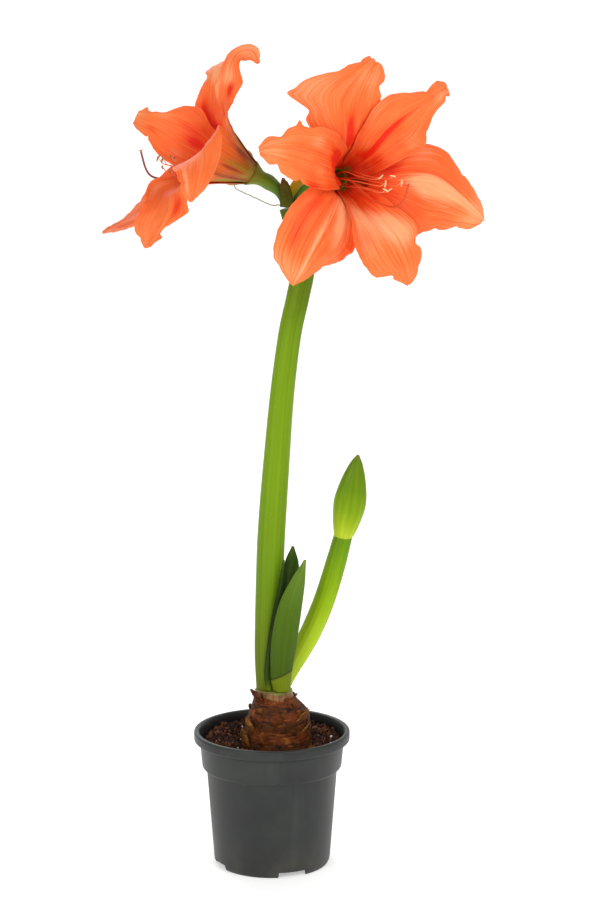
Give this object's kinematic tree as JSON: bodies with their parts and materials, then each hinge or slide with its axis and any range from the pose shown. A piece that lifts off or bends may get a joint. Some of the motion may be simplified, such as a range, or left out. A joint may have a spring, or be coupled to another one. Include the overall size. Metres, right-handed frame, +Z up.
{
  "type": "potted amaryllis",
  "caption": "Potted amaryllis: a forced bulb in a dark nursery pot, with a tall scape in full flower, a young scape in bud and short strap leaves.",
  "frame": {"origin": "centre of the pot's foot, on the surface that the pot stands on", "axes": "+Z up along the pot's axis; the plant is seen from -Y, with the left bloom towards -X and the right bloom towards +X"},
  "size_m": [0.2836, 0.174, 0.6285],
  "materials": {
    "pot_plastic": "satin",
    "bulb_tunic": "matte",
    "potting_soil": "matte",
    "scape_green": "satin",
    "young_scape": "satin",
    "bud_spathe": "satin",
    "leaf_green": "satin",
    "tepal_orange": "satin",
    "tube_green": "satin",
    "stamen_cream": "matte",
    "style_pink": "satin",
    "dry_bract": "matte",
    "bracteole_white": "matte"
  },
  "bodies": {
    "root": {"pot": "pot_plastic", "soil": "potting_soil", "bulb": "bulb_tunic", "scape_main": "scape_green", "scape_second": "young_scape", "flower_bud": "bud_spathe", "leaf_front": "leaf_green", "leaf_back": "leaf_green", "leaf_side": "leaf_green", "spathe_valve_front": "dry_bract", "spathe_valve_back": "dry_bract", "bracteole": "bracteole_white", "left_tube": "tube_green", "left_stamens": "stamen_cream", "left_pistil": "style_pink", "left_tepal_top": "tepal_orange", "left_tepal_far_upper": "tepal_orange", "left_tepal_far_lower": "tepal_orange", "left_tepal_lower": "tepal_orange", "left_tepal_near_lower": "tepal_orange", "left_tepal_near_upper": "tepal_orange", "right_tube": "tube_green", "right_stamens": "stamen_cream", "right_pistil": "style_pink", "right_tepal_top": "tepal_orange", "right_tepal_upper_right": "tepal_orange", "right_tepal_lower_right": "tepal_orange", "right_tepal_bottom": "tepal_orange", "right_tepal_lower_left": "tepal_orange", "right_tepal_upper_left": "tepal_orange"}
  },
  "joints": []
}
